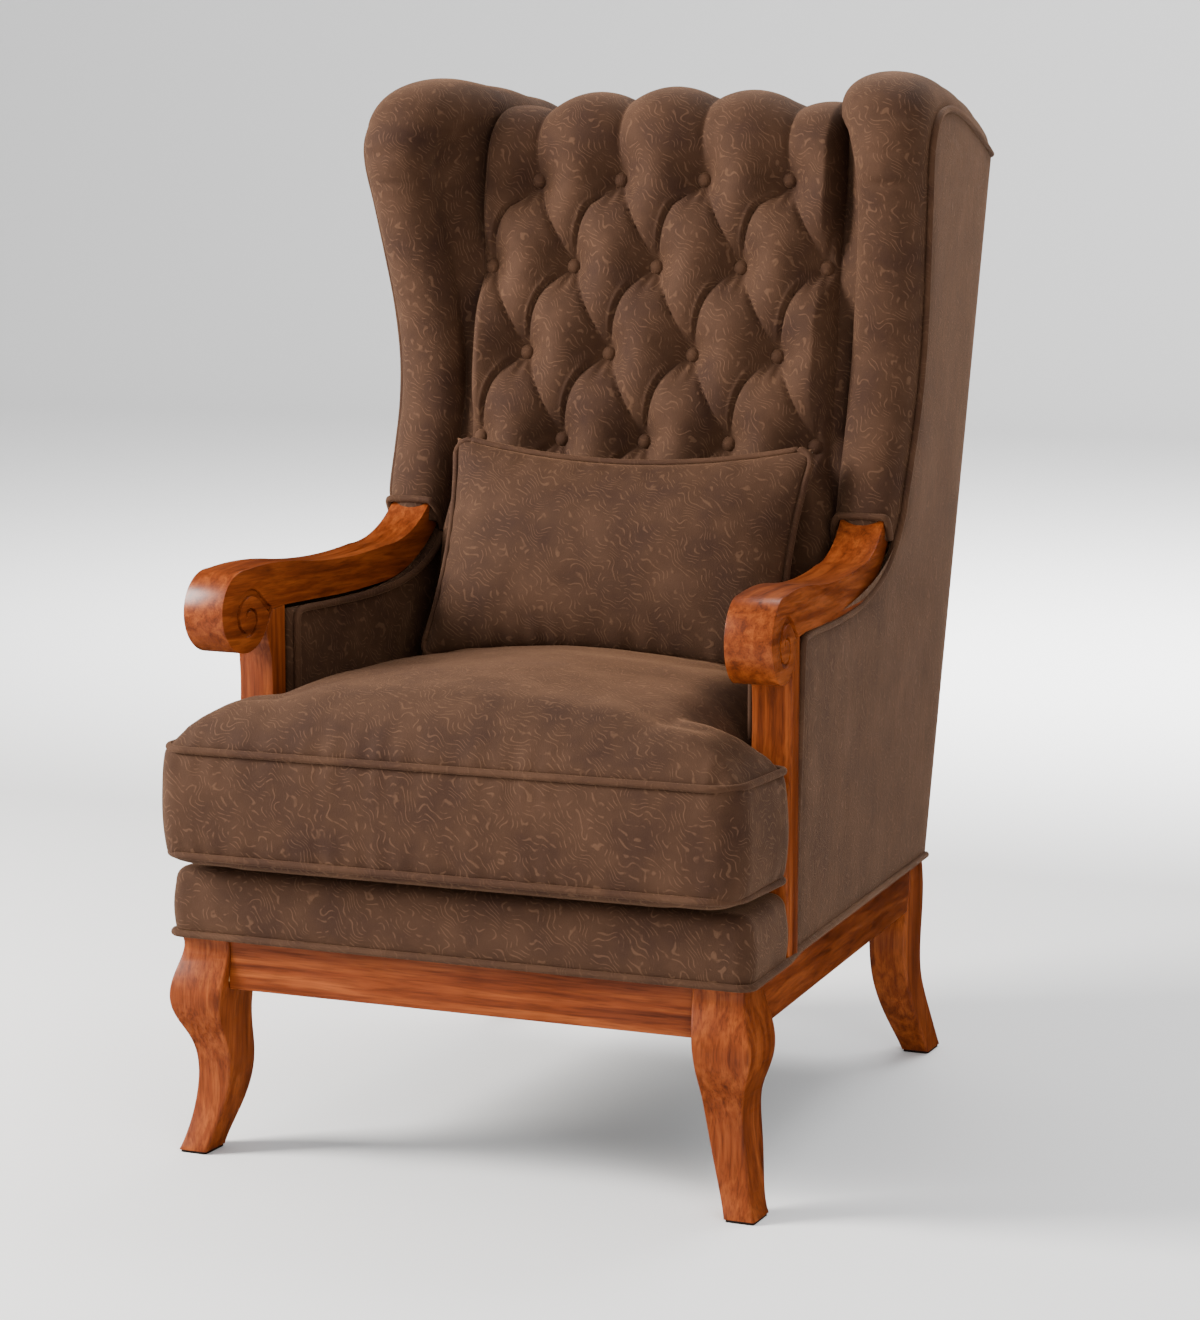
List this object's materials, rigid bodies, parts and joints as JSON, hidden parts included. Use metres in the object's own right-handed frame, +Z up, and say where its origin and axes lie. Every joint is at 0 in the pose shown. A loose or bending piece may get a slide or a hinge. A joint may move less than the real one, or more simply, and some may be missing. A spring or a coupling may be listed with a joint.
{
  "type": "wing armchair",
  "caption": "High-backed wing armchair with a buttoned back, scrolled show-wood arms, curved wooden legs, loose T-shaped seat cushion and lumbar pillow.",
  "frame": {"origin": "on the floor, under the middle of the chair's width and depth", "axes": "+Z up, +Y from the front to the back, +X to the right as seen from the front"},
  "size_m": [0.704, 0.9174, 1.1626],
  "materials": {
    "wood": "satin lacquer, reddish cherry brown",
    "frame_wood": "bare sawn hardwood, hidden",
    "upholstery": "chocolate brown patterned velvet",
    "piping": "cord covered in the same velvet",
    "filling": "wadding, hidden",
    "lining": "black woven lining",
    "spring_steel": "plain wire",
    "glide": "dark"
  },
  "bodies": {
    "chair_frame": {"arm_collar_left": "piping", "arm_collar_right": "piping", "arm_left": "wood", "arm_post_left": "wood", "arm_post_right": "wood", "arm_rail_left": "frame_wood", "arm_rail_right": "frame_wood", "arm_right": "wood", "back_crown": "upholstery", "back_leg_left": "wood", "back_leg_right": "wood", "back_rail": "wood", "back_spring_rail": "frame_wood", "back_stile_left": "frame_wood", "back_stile_right": "frame_wood", "back_webbing": "lining", "corner_blocks": "frame_wood", "deck": "upholstery", "deck_piping": "piping", "dust_cover": "lining", "foot_glides": "glide", "front_leg_left": "wood", "front_leg_right": "wood", "front_rail": "wood", "front_spring_rail": "frame_wood", "inside_arm_left": "upholstery", "inside_arm_piping_left": "piping", "inside_arm_piping_right": "piping", "inside_arm_right": "upholstery", "inside_back": "upholstery", "leg_bolts": "spring_steel", "lower_back_rail": "frame_wood", "outside_back": "upholstery", "outside_side_left": "upholstery", "outside_side_right": "upholstery", "rear_post_left": "frame_wood", "rear_post_right": "frame_wood", "rear_top_rail": "frame_wood", "seat_springs": "spring_steel", "side_piping_left": "piping", "side_piping_right": "piping", "side_rail_left": "wood", "side_rail_right": "wood", "side_spring_rail_left": "frame_wood", "side_spring_rail_right": "frame_wood", "spring_clips": "spring_steel", "top_back_rail": "frame_wood", "tuft_buttons": "upholstery", "wing_frame_left": "frame_wood", "wing_frame_right": "frame_wood", "wing_left": "upholstery", "wing_right": "upholstery"},
    "seat_cushion": {"seat_cushion_core": "filling", "seat_cushion_cover": "upholstery", "seat_cushion_piping": "piping"},
    "pillow": {"pillow_cover": "upholstery", "pillow_filling": "filling", "pillow_piping": "piping"}
  },
  "joints": [
    {"name": "cushion_out", "type": "slide", "parent": "chair_frame", "child": "seat_cushion", "axis": [0, -1, 0], "range_m": [0, 0.56]},
    {"name": "pillow_up", "type": "slide", "parent": "chair_frame", "child": "pillow", "axis": [0, 0, 1], "range_m": [0, 0.7]}
  ]
}
